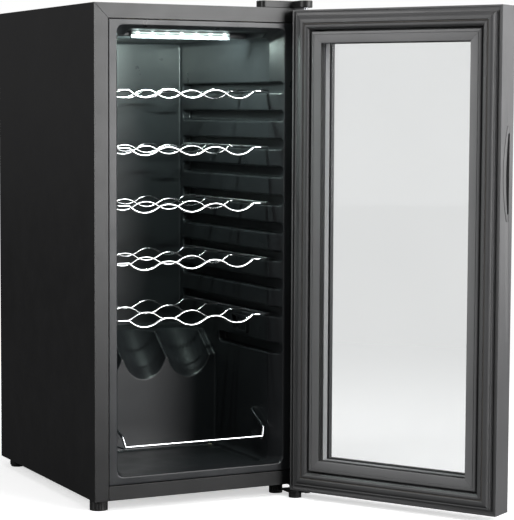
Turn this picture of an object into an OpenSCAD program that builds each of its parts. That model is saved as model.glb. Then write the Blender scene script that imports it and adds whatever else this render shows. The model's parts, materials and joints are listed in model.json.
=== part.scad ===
// Freestanding compressor wine cooler with a glass door, standing on the floor with its door open.
// Row frame: origin on the floor at the centre of the cabinet's footprint, +X right, +Y to the back, +Z up.
// Most modules are drawn with Y counted from the front face of the cabinet, inside from_front().

/* [Cabinet] */
// Outer width of the cabinet and of the door
cab_w = 345; // [340:1:350]
// Depth of the cabinet behind its front face
cab_d = 414; // [410:1:425]
// Height of the cabinet without its feet
body_h = 726; // [724:1:728]
// Height of the feet under the cabinet
foot_h = 16; // [16:0.5:18]
// Thickness of the painted steel sheet
sheet = 1; // [0.8:0.1:1.2]
// Width of the steel flange round the front
flange_w = 21.7; // [20:0.1:22]

/* [Interior] */
// Width of the opening at the front
mouth_w = 274; // [272:1:276]
// Width between the inner side walls
inner_w = 250; // [248:1:252]
// Depth of the inside behind the front face
inner_d = 355; // [350:1:358]
// Depth over which the opening narrows to the side walls
flare_d = 30; // [25:1:32]
// Thickness of the formed plastic liner
liner_t = 2; // [1.6:0.1:2.4]
// Distance of the step over the compressor behind the front face
step_y = 216; // [212:1:220]

/* [Shelves] */
// Number of wire shelves
shelf_count = 5; // [3:1:5]
// Height of the lowest of the nine shelf grooves
first_groove_z = 281.3; // [280:0.1:283]
// Height from one groove to the next
groove_pitch = 42.65; // [42:0.05:43]
// Distance between neighbouring bottle troughs
bottle_pitch = 77; // [76:0.5:78]
// Height of the waves in a shelf wire
wave_h = 12; // [11:0.5:13]
// Diameter of the front wire of a shelf
front_wire_d = 4; // [3.6:0.1:4.4]

/* [Door] */
// Thickness of the door without its gasket
door_t = 40; // [39:0.5:41]
// Clear gap between the closed door and the cabinet
door_gap = 5; // [4.8:0.1:5.4]
// Angle that the door stands open, counted from closed
door_open = 120.5; // [0:0.5:135]
// Width of the door frame round the glass
border_w = 50; // [48:0.5:52]
// Distance of the hinge axis from the side of the door
hinge_inset = 12.7; // [12.5:0.1:13]

/* [Hidden] */
$fn = 48;
eps = 0.01;
knuckle = 1.06;
front_y = -cab_d / 2;
body_top = foot_h + body_h;
half_w = cab_w / 2;
seam_x = half_w - flange_w;
seam_top = body_top - flange_w;
rail_top = foot_h + 21.5;
seam_gap = 0.5;

mouth_bottom = 50;
mouth_top = 710.5;
ceiling_z = 697.5;
mouth_r = 10;
wall_r = 8;
basin_z = 45;
basin_w = 236;
basin_r = 14;
bay_w = 224;
bay_d = 82;
bay_z = 706;
lens_z = 701.6;
wall_x = inner_w / 2;

groove_count = 9;
groove_h = 16;
groove_r = 6;
groove_front = 3;
groove_back = 345;
groove_x = mouth_w / 2 + 2;
low_groove_z = 225;
low_groove_back = 205;

step_z = 193;
step_top_z = 229;
step_slope = 38;
cradle_r = 38;
cradle_z = 207;
cell_y = 243;
cell_top = 168;

rail_wire_d = 5;
thin_wire_d = 3.2;
rail_x = 128;
rail_front = 36;
rail_back = 336;
tab_x = 104;
wave_ys = [38, 123, 208, 293];
wave_turn = 2 * atan(wave_h / bottle_pitch * 2);
wave_r = bottle_pitch / 4 / sin(wave_turn);
shelf_step = 2;

guard_r = 2;
guard_x = 118;
guard_hole_y = 77;
guard_bar_y = 25;
guard_low_z = 87;
guard_high_z = 125;

door_bottom = 11;
door_top = 738;
door_in = -door_gap;
door_out = door_in - door_t;
hinge_x = half_w - hinge_inset;
hinge_y = door_in - 16;
pane_t = 4;
pane_recess = 11.4;
spacer_t = 12;
pane_in = door_in - pane_recess;
spacer_in = pane_in - pane_t;
pane_out = spacer_in - spacer_t;
lip_in = pane_out - pane_t;
bead_inset = 32.5;
gasket_inset = 8.6;
gasket_w = 20.8;
gasket_h = 4.4;
pin_r = 3;
pin_clear = 0.05;
bush_r = 5;
bush_l = 18;
corner_cut = 6.5;
handle_z = 500;
handle_half = 68;
handle_r = 194;
handle_front = -12.7;
handle_back = -33.4;
handle_depth = 15;
handle_seam = 1.8;
slot_half = 57.5;
slot_r = 300;
slot_front = -23.7;

plate_t = 3;
hinge_screw_xs = [114, 130, 146];
foot_r = 13.5;
foot_right_r = 10.5;
foot_x = 157;
foot_y = 24;
foot_right_x = 137;
foot_stud_r = 4;
foot_clear = 0.05;
hinge_foot_x = 147;
rear_foot_x = 151;
rear_foot_y = 396;
rear_foot_r = 12;

comp_x = -18;
comp_y = 326;
comp_r = 62;
comp_z = 30;
comp_h = 104;
tray_z = comp_z + comp_h + 3;
drain_y = 334;
cord_x = 70;
cord_z = 40;

black = [0.07, 0.07, 0.075];
grey_black = [0.16, 0.16, 0.17];
steel = [0.75, 0.76, 0.78];
copper = [0.72, 0.42, 0.26];

// ---- shared helpers ----

module from_front() translate([0, front_y, 0]) children();

// Puts a piece drawn on the closed door where the open door holds it
module on_door() from_front()
    translate([hinge_x, hinge_y, 0]) rotate([0, 0, door_open]) translate([-hinge_x, -hinge_y, 0]) children();

// A box between two corners
module block(low, high) translate(low) cube(high - low);

// Rounded rectangle between two corners
module rounded_rect(x0, y0, x1, y1, r) {
    translate([x0 + r, y0]) square([x1 - x0 - 2 * r, y1 - y0]);
    translate([x0, y0 + r]) square([x1 - x0, y1 - y0 - 2 * r]);
    for (x = [x0 + r, x1 - r], y = [y0 + r, y1 - r]) translate([x, y]) circle(r);
}

// Stands a flat XY drawing up in the XZ plane and extrudes it towards +Y from y0 to y1
module upright(y0, y1) translate([0, y1, 0]) rotate([90, 0, 0]) linear_extrude(y1 - y0) children();

// Stands a flat drawing (first axis Y, second axis Z) up and extrudes it along X from x0 to x1
module sideways(x0, x1) translate([x0, 0, 0]) rotate([90, 0, 90]) linear_extrude(x1 - x0) children();

// Round rod from a to b
module rod(a, b, r) {
    d = b - a;
    translate(a) rotate([0, acos(d[2] / norm(d)), atan2(d[1], d[0])]) cylinder(r = r, h = norm(d));
}

// Round rod through a list of points, with a slightly larger ball at each bend
module bent_rod(points, r) {
    for (i = [0 : len(points) - 2]) rod(points[i], points[i + 1], r);
    for (i = [1 : len(points) - 2]) translate(points[i]) sphere(r * knuckle);
}

// Flat serpentine of round tube in the YZ plane: straight upright runs joined by half-circle bends
module serpentine(y0, z0, z1, pitch, runs, r) {
    for (i = [0 : runs - 1]) translate([0, y0 + i * pitch, z0]) cylinder(r = r, h = z1 - z0);
    for (i = [0 : runs - 2]) {
        up = i % 2 == 0;
        translate([0, y0 + (i + 0.5) * pitch, up ? z1 : z0]) rotate([up ? 90 : -90, 0, 90])
            rotate_extrude(angle = 180) translate([pitch / 2, 0]) circle(r, $fn = 24);
    }
}

// Cross-head screw pointing down: its head rests at z = 0
module screw_down(head_r, shank_r, shank_l) {
    difference() {
        cylinder(r = head_r, h = 1.8);
        for (a = [0, 90]) rotate([0, 0, a]) translate([-head_r * 0.6, -0.4, 0.9]) cube([head_r * 1.2, 0.8, 1]);
    }
    translate([0, 0, -shank_l]) cylinder(r = shank_r, h = shank_l + eps);
}

// ---- cabinet ----

module cabinet_wrap() color(black) from_front() difference() {
    union() {
        block([-half_w, 0, foot_h], [-half_w + sheet, cab_d, body_top]);
        block([half_w - sheet, 0, foot_h], [half_w, cab_d, body_top]);
        block([-half_w, 0, body_top - sheet], [half_w, cab_d, body_top]);
        for (s = [-1, 1]) {
            block([s > 0 ? seam_x : -half_w, 0, foot_h], [s > 0 ? half_w : -seam_x, sheet, body_top]);
            block([s > 0 ? seam_x : -seam_x - sheet, 0, foot_h + 2], [s > 0 ? seam_x + sheet : -seam_x, 9, seam_top + sheet]);
        }
        block([-half_w, 0, seam_top], [half_w, sheet, body_top]);
        block([-seam_x, 0, seam_top], [seam_x, 9, seam_top + sheet]);
    }
    // mitred joint in the flange at both top corners
    for (s = [-1, 1]) translate([s * seam_x, 0, seam_top]) rotate([0, s > 0 ? -45 : -135, 0])
        block([-2, -0.3, -0.25], [flange_w * 1.5, 0.5, 0.25]);
}

module bottom_cross_rail() color(black) from_front() {
    x = seam_x - seam_gap;
    block([-x, 0, foot_h], [x, sheet, rail_top]);
    block([-x, 0, rail_top - sheet], [x, 9, rail_top]);
    block([-x, 0, foot_h], [x, 9, foot_h + sheet]);
}

module base_plate() color(black) from_front() difference() {
    union() {
        block([-half_w + sheet, 9.2, foot_h], [half_w - sheet, cab_d - sheet, foot_h + 1.2]);
        block([-half_w + sheet, cell_y + 4, foot_h], [half_w - sheet, cell_y + 5.2, foot_h + 12]);
        block([-half_w + sheet, cab_d - 2.2, foot_h], [half_w - sheet, cab_d - sheet, foot_h + 12]);
        block([cord_x - 18, cab_d - 2.2, foot_h], [cord_x + 18, cab_d - sheet, cord_z + 16]);
    }
    translate([cord_x, cab_d - 4, cord_z]) rotate([-90, 0, 0]) cylinder(r = 5, h = 6);
    for (x = [-foot_x, foot_right_x]) translate([x, foot_y, foot_h - 1])
        cylinder(r = foot_stud_r + foot_clear, h = 4);
    for (x = [-50, 0, 50]) block([comp_x + x - 4, cell_y + 14, foot_h - 1], [comp_x + x + 4, cell_y + 30, foot_h + 3]);
    for (x = [-1, 1], y = [-1, 1]) translate([comp_x + x * 66, comp_y + y * 50, foot_h - 1]) cylinder(r = 3, h = 4);
}

module step_panel() color([0.5, 0.51, 0.52]) from_front() difference() {
    union() {
        block([-half_w + sheet, cell_y, foot_h + 1.2], [half_w - sheet, cell_y + sheet, cell_top]);
        block([-half_w + sheet, cell_y, cell_top], [half_w - sheet, cab_d - sheet, cell_top + sheet]);
    }
    translate([0, drain_y, cell_top - 1]) cylinder(r = 5.2, h = 4);
}

module back_panel() color(black) from_front() difference() {
    block([-half_w + sheet, cab_d - sheet, cell_top - 6], [half_w - sheet, cab_d, body_top - sheet]);
    // two shallow pressed panels stiffen the sheet
    for (z = [200, 470]) upright(cab_d - 0.4, cab_d + 1) rounded_rect(-140, z, 140, z + 235, 14);
}

module insulation_foam() color([0.93, 0.88, 0.7]) from_front() difference() {
    block([-half_w + sheet, 10, foot_h + 1.2], [half_w - sheet, cab_d - sheet, body_top - sheet]);
    liner_space(liner_t);
    block([-half_w, cell_y, foot_h], [half_w, cab_d, cell_top + sheet]);
    for (x = [-foot_x, foot_right_x]) translate([x, foot_y, foot_h]) cylinder(r = 8, h = 22);
    translate([0, drain_y, cell_top]) cylinder(r = 5.2, h = 70);
    block([-112, inner_d + liner_t - eps, 258], [112, inner_d + liner_t + 6.5, 652]);
    for (s = [-1, 1]) block([s > 0 ? half_w - 8 : -half_w, 30, 195], [s > 0 ? half_w : -half_w + 8, 380, 715]);
    block([seam_x - 26, 93, 236], [seam_x - 8, 152, 271]);
    block([-85, 70, bay_z + 1], [85, 92, bay_z + 10]);
}

// Space inside the liner, grown outwards by e
module liner_space(e) difference() {
    union() {
        hull() {
            upright(-eps, eps)
                rounded_rect(-mouth_w / 2 - e, mouth_bottom - e, mouth_w / 2 + e, mouth_top + e, mouth_r + e, $fn = 32);
            upright(flare_d, flare_d + eps)
                rounded_rect(-wall_x - e, mouth_bottom - e, wall_x + e, ceiling_z + e, wall_r + e, $fn = 32);
        }
        upright(flare_d, inner_d + e) rounded_rect(-wall_x - e, mouth_bottom - e, wall_x + e, ceiling_z + e, wall_r + e);
        translate([0, 0, basin_z - e]) linear_extrude(mouth_bottom - basin_z + wall_r)
            rounded_rect(-basin_w / 2 - e, flare_d - e, basin_w / 2 + e, step_y, basin_r + e);
        block([-bay_w / 2 - e, sheet * 2 + 6, ceiling_z - wall_r], [bay_w / 2 + e, bay_d + e, bay_z + e]);
        for (s = [-1, 1]) {
            for (i = [0 : groove_count - 1]) groove(s, first_groove_z + i * groove_pitch, groove_back, e);
            groove(s, low_groove_z, low_groove_back, e);
        }
    }
    step_block(e);
}

// One shelf groove in a side wall
module groove(s, z, back, e) {
    x = groove_x + e;
    sideways(s > 0 ? wall_x - 4 : -x, s > 0 ? x : -wall_x + 4)
        rounded_rect(groove_front - e, z - groove_h / 2 - e, back + e, z + groove_h / 2 + e, groove_r + e);
}

// The step over the compressor, cut by three troughs for the bottle necks, shrunk by e
module step_block(e) {
    slope_len = (step_top_z - step_z) / tan(step_slope);
    difference() {
        sideways(-half_w, half_w) polygon([
            [step_y + e, 0], [step_y + e, step_z - e], [step_y + e + slope_len, step_top_z - e],
            [cab_d, step_top_z - e], [cab_d, 0]
        ]);
        for (i = [-1 : 1]) translate([i * bottle_pitch, step_y, cradle_z]) rotate([-90 + step_slope, 0, 0])
            translate([0, 0, -60]) cylinder(r = cradle_r + e, h = 260);
        translate([0, drain_y, step_top_z - 20]) cylinder(r = e > 0 ? eps : 3.5, h = 30);
    }
}

module inner_liner() color(grey_black) from_front() {
    difference() {
        union() {
            difference() {
                liner_space(liner_t);
                block([-half_w, -10, 0], [half_w, 0, body_top]);
            }
            block([-seam_x + seam_gap, 0, rail_top + seam_gap], [seam_x - seam_gap, liner_t, seam_top - seam_gap]);
        }
        liner_space(0);
        for (s = [-1, 1], z = [guard_low_z, guard_high_z]) translate([s * (wall_x - 1), guard_hole_y, z])
            rotate([0, s * 90, 0]) cylinder(r = guard_r + 0.3, h = 1 + liner_t + 1);
        block([wall_x - 1, 106, 246], [wall_x + 4, 139, 261]);
        translate([0, drain_y, step_top_z - 10]) cylinder(r = 3.5, h = 20);
    }
    // two small ribs behind the short lowest groove on each wall
    for (s = [-1, 1], y = [209, 215.5]) sideways(s > 0 ? wall_x - 2 : -wall_x - eps, s > 0 ? wall_x + eps : -wall_x + 2)
        rounded_rect(y, low_groove_z - 5.5, y + 3, low_groove_z + 5.5, 1.2);
}

// ---- light and sensor ----

module light_housing() color(grey_black) from_front() difference() {
    block([-82, 78, ceiling_z - 3], [82, bay_d - 0.1, bay_z - 0.1]);
    block([-80, 77, lens_z], [80, 80.5, lens_z + 3]);
}

module light_lens() color([0.85, 0.95, 0.92]) from_front()
    block([-80, 75.5, lens_z], [80, 77.9, lens_z + 2.8]);

module light_board() color([0.1, 0.35, 0.2]) from_front() {
    block([-78, 79.2, lens_z + 0.2], [78, 80.4, lens_z + 2.7]);
    for (i = [-3 : 3]) block([i * 24 - 1.5, 78.4, lens_z + 0.4], [i * 24 + 1.5, 79.3, lens_z + 2.4]);
}

module sensor_cover() color(grey_black) from_front() difference() {
    sideways(wall_x - 5, wall_x - 0.05) rounded_rect(95, 240, 150, 267, 3);
    sideways(wall_x - 3.5, wall_x) rounded_rect(96.5, 241.5, 148.5, 265.5, 2);
    for (i = [0 : 8]) block([wall_x - 6, 100 + i * 5.2, 244], [wall_x - 3, 102.4 + i * 5.2, 263]);
}

module temperature_sensor() color(copper) from_front() {
    translate([wall_x + 8, 110, 253.5]) rotate([-90, 0, 0]) cylinder(r = 3, h = 25);
    block([wall_x + 3.9, 106.5, 250], [wall_x + 6, 138.5, 257]);
}

// ---- cooling system ----

module evaporator_plate() color(steel) from_front() {
    y = inner_d + liner_t + 0.1;
    block([-110, y, 260], [110, y + 1.6, 650]);
    translate([0, y + 3.5, 0]) rotate([0, 0, -90]) translate([0, -90, 0]) serpentine(0, 285, 625, 20, 10, 2.4);
}

module drain_tube() color([0.75, 0.75, 0.78]) from_front() translate([0, drain_y, 0]) difference() {
    translate([0, 0, tray_z + 6]) cylinder(r = 5, h = step_top_z - liner_t - tray_z - 6.1);
    translate([0, 0, tray_z]) cylinder(r = 3.5, h = 120);
}

module condenser_coils() color([0.3, 0.3, 0.32]) from_front()
    for (s = [-1, 1]) translate([s * (half_w - sheet - 2.6), 0, 0]) serpentine(50, 230, 680, 62, 6, 2.4);

module compressor_shell() color(black) from_front() translate([comp_x, comp_y, comp_z]) {
    rotate_extrude() {
        translate([0, 18]) square([comp_r, comp_h - 40]);
        intersection() {
            translate([0, 20]) circle(comp_r);
            square([comp_r, 20]);
        }
        intersection() {
            translate([0, comp_h - 22 - 40]) circle(comp_r);
            translate([0, comp_h - 22]) square([comp_r, 22]);
        }
        translate([0, 58]) square([comp_r + 2.5, 3.5]);
    }
}

module compressor_base() color(black) from_front() difference() {
    z = foot_h + 11.5;
    union() {
        for (y = [-50, 50]) block([comp_x - 78, comp_y + y - 12, z], [comp_x + 78, comp_y + y + 12, z + 2.4]);
        block([comp_x - 40, comp_y - 50, z], [comp_x + 40, comp_y + 50, z + 2.4]);
    }
    for (x = [-1, 1], y = [-1, 1]) translate([comp_x + x * 66, comp_y + y * 50, z - 1]) cylinder(r = 5, h = 5);
}

module compressor_grommets() color([0.1, 0.1, 0.1]) from_front()
    for (x = [-1, 1], y = [-1, 1]) translate([comp_x + x * 66, comp_y + y * 50, foot_h + 1.2]) difference() {
        union() {
            cylinder(r = 9, h = 10.2);
            cylinder(r = 4.95, h = 14);
        }
        translate([0, 0, -1]) cylinder(r = 3, h = 20);
    }

module compressor_bolts() color(steel) from_front()
    for (x = [-1, 1], y = [-1, 1]) translate([comp_x + x * 66, comp_y + y * 50, foot_h - 1]) {
        translate([0, 0, 16.3]) cylinder(r = 8, h = 1);
        translate([0, 0, 17.3]) cylinder(r = 4.6, h = 4, $fn = 6);
        cylinder(r = 2.95, h = 22);
    }

module relay_cover() color([0.12, 0.12, 0.13]) from_front()
    block([comp_x + comp_r + 3.2, comp_y - 26, comp_z + 20], [comp_x + comp_r + 28, comp_y + 26, comp_z + 70]);

module evaporation_tray() color([0.2, 0.2, 0.21]) from_front() difference() {
    block([comp_x - 66, comp_y - 50, tray_z], [comp_x + 66, comp_y + 66, tray_z + 20]);
    block([comp_x - 64, comp_y - 48, tray_z + 2], [comp_x + 64, comp_y + 64, tray_z + 21]);
}

module filter_dryer() color(copper) from_front() translate([96, 372, 0]) {
    translate([0, 0, 60]) cylinder(r = 9, h = 70);
    translate([0, 0, 130]) cylinder(r1 = 9, r2 = 3, h = 9);
    translate([0, 0, 51]) cylinder(r1 = 3, r2 = 9, h = 9);
    translate([0, 0, 139]) cylinder(r = 3, h = 12);
    translate([0, 0, 36]) cylinder(r = 3, h = 15);
}

module discharge_pipe() color(copper) from_front()
    bent_rod([[comp_x + 30, comp_y + comp_r + 3, 70], [comp_x + 30, 400, 70], [130, 400, 70], [130, 400, 150],
        [130, 300, 150], [150, 300, 150], [150, 300, 164]], 2.5);

module suction_pipe() color(copper) from_front()
    bent_rod([[comp_x - 30, comp_y + comp_r - 4, 96], [comp_x - 30, 402, 96], [-100, 402, 96], [-100, 402, 150],
        [-120, 380, 161]], 3);

module control_box() color([0.85, 0.85, 0.85]) from_front() difference() {
    block([112, 252, 22], [164, 330, 128]);
    block([114, 254, 24], [162, 328, 129]);
}

module control_box_lid() color([0.85, 0.85, 0.85]) from_front()
    block([111, 251, 128.1], [165, 331, 131]);

module control_board() color([0.1, 0.35, 0.2]) from_front() {
    block([118, 258, 30], [119.6, 324, 120]);
    block([119.6, 270, 84], [143, 300, 112]);
    for (y = [266, 284, 302]) translate([119.5, y, 56]) rotate([0, 90, 0]) cylinder(r = 7, h = 22);
}

module cord_gland() color([0.05, 0.05, 0.05]) from_front() translate([cord_x, cab_d - sheet, cord_z])
    rotate([-90, 0, 0]) difference() {
        union() {
            translate([0, 0, 0.05]) cylinder(r1 = 8, r2 = 5.5, h = 12);
            translate([0, 0, -6]) cylinder(r = 4.95, h = 7);
        }
        translate([0, 0, -7]) cylinder(r = 3.2, h = 30);
    }

module wall_spacers() color(black) from_front()
    for (x = [-120, 120]) translate([x, cab_d, 690]) rotate([-90, 0, 0]) {
        cylinder(r = 13, h = 5);
        cylinder(r = 9, h = 21);
    }

module back_panel_screws() color(steel) from_front()
    for (x = [-160, 160], z = [190, 350, 510, 670, 728]) translate([x, cab_d, z]) rotate([-90, 0, 0]) difference() {
        cylinder(r = 4, h = 1.8);
        for (a = [0, 90]) rotate([0, 0, a]) translate([-2.4, -0.4, 0.9]) cube([4.8, 0.8, 1]);
    }

// ---- feet ----

// Ribbed pad on a screw, with its threaded stud in the base plate
module screw_foot(pad_r, pad_h) {
    difference() {
        union() {
            cylinder(r = pad_r, h = pad_h);
            translate([0, 0, pad_h - eps]) cylinder(r = pad_r - 2, h = 1.5);
        }
        for (i = [0 : 17]) rotate([0, 0, i * 20]) translate([pad_r + 0.4, 0, 2]) cylinder(r = 1.2, h = pad_h);
    }
    cylinder(r = foot_stud_r, h = foot_h + 16);
}

module front_foot_left() color(black) from_front() translate([-foot_x, foot_y, 0]) screw_foot(foot_r, foot_h - 2);

module front_foot_right() color(black) from_front() translate([foot_right_x, foot_y, 0]) screw_foot(foot_right_r, foot_h - 2);

module rear_feet() color(black) from_front() for (x = [-rear_foot_x, rear_foot_x]) translate([x, rear_foot_y, 0]) {
    cylinder(r1 = rear_foot_r - 2, r2 = rear_foot_r, h = 4);
    translate([0, 0, 4]) cylinder(r = rear_foot_r, h = foot_h - 4.05);
}

// ---- hinges ----

module top_hinge_plate() color(steel) from_front() difference() {
    union() {
        block([108, 4, body_top], [167.2, 21, body_top + plate_t]);
        block([152.4, hinge_y, body_top], [167.2, 21, body_top + plate_t]);
        translate([hinge_x, hinge_y, body_top]) cylinder(r = 7.6, h = plate_t);
    }
    translate([hinge_x, hinge_y, body_top - 1]) cylinder(r = pin_r + pin_clear, h = 6);
    for (x = hinge_screw_xs) translate([x, 12.5, body_top - 1]) cylinder(r = 2.6, h = 6);
}

module top_hinge_pin() color(steel) from_front() translate([hinge_x, hinge_y, 0]) {
    translate([0, 0, door_top - 15]) cylinder(r = pin_r, h = body_top + plate_t - door_top + 15.1);
    translate([0, 0, body_top + plate_t]) cylinder(r = 5, h = 2);
}

module top_hinge_screws() color(steel) from_front()
    for (x = hinge_screw_xs) translate([x, 12.5, body_top + plate_t]) screw_down(4.4, 2.5, 2.9);

// Outline of the cover from above: a bar on the cabinet and a round end over the hinge axis
module cover_outline(e) {
    translate([hinge_x, hinge_y]) circle(10.2 - e);
    translate([hinge_x - 10.2 + e, hinge_y]) square([20.4 - 2 * e, 30]);
    rounded_rect(98 + e, 1 + e, hinge_x + 10.2 - e, 25 - e, 6 - e);
}

module top_hinge_cover() color(black) from_front() difference() {
    translate([0, 0, body_top + 0.05]) linear_extrude(10.4) cover_outline(0);
    translate([0, 0, body_top]) linear_extrude(8.6) cover_outline(1.8);
}

module bottom_hinge_bracket() color(black) from_front() difference() {
    union() {
        block([151, 2, foot_h - plate_t], [171, 46, foot_h - 0.05]);
        block([151, 2, 7], [170, 5, foot_h - 0.05]);
        block([hinge_foot_x - 10, hinge_y, 7], [170, 5, 10]);
        translate([hinge_x, hinge_y, 7]) cylinder(r = 10.2, h = 3);
        translate([hinge_foot_x, hinge_y, 7]) cylinder(r = 10, h = 3);
        block([hinge_x - 2, hinge_y - 15, 7], [hinge_x + 5, hinge_y, 10]);
    }
    translate([hinge_x, hinge_y, 6]) cylinder(r = pin_r + pin_clear, h = 6);
    translate([hinge_foot_x, hinge_y, 6]) cylinder(r = pin_r + pin_clear, h = 6);
    for (y = [18, 36]) translate([161, y, foot_h - plate_t - 1]) cylinder(r = 2.6, h = 6);
}

module bottom_hinge_pin() color(steel) from_front() translate([hinge_x, hinge_y, 7])
    cylinder(r = pin_r, h = door_bottom + 15 - 7);

module bottom_hinge_screws() color(steel) from_front()
    for (y = [18, 36]) translate([161, y, foot_h - plate_t]) mirror([0, 0, 1]) screw_down(4.4, 2.5, 2.9);

module hinge_foot() color(black) from_front() translate([hinge_foot_x, hinge_y, 0]) {
    difference() {
        cylinder(r = 9.8, h = 6.95);
        for (i = [0 : 13]) rotate([0, 0, i * 360 / 14]) translate([10.1, 0, 1.5]) cylinder(r = 1, h = 8);
    }
    cylinder(r = pin_r, h = 9.9);
}

// ---- wire goods ----

module bottle_guard() color(steel) from_front() {
    bar_z = guard_low_z - 1;
    top_z = 105;
    reach = wall_x + 1.5;
    side_x = guard_x - 1;
    rod([-guard_x, guard_bar_y, bar_z], [guard_x, guard_bar_y, bar_z], guard_r);
    for (s = [-1, 1]) {
        bent_rod([[s * side_x, guard_bar_y, bar_z], [s * side_x, guard_bar_y, top_z],
            [s * side_x, guard_hole_y, guard_high_z], [s * reach, guard_hole_y, guard_high_z]], guard_r);
        bent_rod([[s * side_x, guard_bar_y, bar_z], [s * side_x, guard_hole_y, guard_low_z],
            [s * reach, guard_hole_y, guard_low_z]], guard_r);
        translate([s * side_x, guard_bar_y, bar_z]) sphere(guard_r * knuckle);
    }
}

// Wave of round wire along X, made of equal arcs: troughs hold the bottles, crests lie between them.
// The troughs are a touch thinner, and their ends reach a little way into the crests and the straight ends.
module wave_wire(r) {
    low = wave_r - wave_h / 2;
    thinner = 0.1;
    lap_turn = 2;
    trough_turn = wave_turn + lap_turn;
    rise = (tab_x - 1.25 * bottle_pitch) * tan(wave_turn);
    for (i = [-1 : 1]) translate([i * bottle_pitch, 0, low]) rotate([90, 0, 0]) rotate([0, 0, 270 - trough_turn])
        rotate_extrude(angle = 2 * trough_turn) translate([wave_r, 0]) circle(r - thinner, $fn = 24);
    for (i = [-0.5, 0.5]) translate([i * bottle_pitch, 0, -low]) rotate([90, 0, 0]) rotate([0, 0, 90 - wave_turn])
        rotate_extrude(angle = 2 * wave_turn) translate([wave_r, 0]) circle(r, $fn = 24);
    for (s = [-1, 1]) rod([s * 1.25 * bottle_pitch, 0, 0], [s * tab_x, 0, rise], r, $fn = 16);
}

module wire_shelf(index) color(steel) from_front() {
    z = first_groove_z + shelf_step * (index - 1) * groove_pitch - groove_h / 2 + rail_wire_d / 2 + 0.3;
    for (s = [-1, 1]) {
        translate([s * rail_x, rail_front, z]) rotate([-90, 0, 0])
            cylinder(r = rail_wire_d / 2, h = rail_back - rail_front, $fn = 24);
        for (y = wave_ys) block([s > 0 ? tab_x - 2 : -rail_x, y - 3.5, z - 1], [s > 0 ? rail_x : 2 - tab_x, y + 3.5, z + 1.2]);
    }
    for (i = [0 : len(wave_ys) - 1]) translate([0, wave_ys[i], z + 1 - wave_h / 2])
        wave_wire((i == 0 ? front_wire_d : thin_wire_d) / 2);
}

module wire_shelf_1() wire_shelf(1);
module wire_shelf_2() wire_shelf(2);
module wire_shelf_3() wire_shelf(3);
module wire_shelf_4() wire_shelf(4);
module wire_shelf_5() wire_shelf(5);

// ---- door, drawn closed ----

// Upright ring between y0 and y1: its outer edge lies inset_out inside the door's edge, its inner edge inset_in
module door_ring(inset_out, inset_in, y0, y1) difference() {
    door_slab(inset_out, y0, y1);
    door_slab(inset_in, y0 - 1, y1 + 1);
}

module door_slab(inset, y0, y1)
    block([-half_w + inset, y0, door_bottom + inset], [half_w - inset, y1, door_top - inset]);

module door_frame() color(grey_black) on_door() difference() {
    door_slab(0, door_out, door_in);
    door_slab(border_w, door_out - 1, door_in + 1);
    door_slab(gasket_inset + gasket_w, lip_in, door_in + 1);
    door_ring(2.5, 7.5, door_in - 2.5, door_in + 1);
    door_ring(17.2, 20.8, door_in - 6, door_in + 1);
    for (z = [door_bottom - 1, door_top - bush_l]) translate([hinge_x, hinge_y, z])
        cylinder(r = bush_r, h = bush_l + 1);
    sideways(-half_w - 1, -half_w + handle_depth) handle_outline(handle_front, handle_r, handle_half);
    // the front edge on the hinge side is cut off so that it swings clear of the cabinet
    linear_extrude(body_top + 20) polygon([
        [half_w + 1, door_out + corner_cut + 1], [half_w + 1, door_out - 1], [half_w - corner_cut - 1, door_out - 1]
    ]);
}

// Side view of the handle recess: an arc towards the cabinet and a straight edge towards the front
module handle_outline(arc_y, r, half) intersection() {
    translate([arc_y - r, handle_z]) circle(r, $fn = 160);
    translate([handle_back, handle_z - half]) square([30, 2 * half]);
}

module handle_insert() color(grey_black) on_door() difference() {
    sideways(-half_w, -half_w + handle_depth - 0.1) intersection() {
        handle_outline(handle_front - handle_seam, handle_r - handle_seam, handle_half - 0.1);
        translate([handle_back + 0.1, handle_z - handle_half]) square([30, 2 * handle_half]);
    }
    sideways(-half_w - 1, -half_w + handle_depth - 2) handle_outline(slot_front, slot_r, slot_half);
}

module glazing_bead() color(grey_black) on_door() difference() {
    door_ring(bead_inset, border_w, pane_in + 0.05, door_in);
    // mitred joints at the corners
    for (sx = [-1, 1], sz = [-1, 1])
        translate([sx * (half_w - border_w + 1), door_in - 0.4, (door_bottom + door_top) / 2
            + sz * ((door_top - door_bottom) / 2 - border_w + 1)])
        rotate([0, sx > 0 ? (sz > 0 ? -45 : 45) : (sz > 0 ? -135 : 135), 0]) translate([-3, 0, -0.2]) cube([30, 1, 0.4]);
}

module glass_pane(y) color([0.75, 0.8, 0.8, 0.35]) on_door() door_slab(bead_inset + 2, y - pane_t, y);

module inner_pane() glass_pane(pane_in);
module outer_pane() glass_pane(pane_out);

module glass_spacer() color([0.6, 0.6, 0.62]) on_door()
    door_ring(bead_inset + 3, border_w - 1, pane_out + 0.05, spacer_in - 0.05);

module door_gasket() color([0.1, 0.1, 0.1]) on_door() difference() {
    union() {
        door_ring(gasket_inset, gasket_inset + gasket_w, door_in + 0.05, door_in + 2.2);
        door_ring(gasket_inset + 3.5, gasket_inset + gasket_w - 2, door_in + 2, door_in + gasket_h);
        door_ring(17.4, 20.6, door_in - 5.8, door_in + 1);
    }
    door_ring(gasket_inset + 5.5, gasket_inset + 13.5, door_in + 1, door_in + gasket_h - 0.9);
    door_ring(gasket_inset + 15, gasket_inset + 16.6, door_in + 3, door_in + gasket_h + 1);
}

module gasket_magnets() color([0.25, 0.2, 0.18]) on_door()
    door_ring(gasket_inset + 5.8, gasket_inset + 13.2, door_in + 1.1, door_in + gasket_h - 1);

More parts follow.
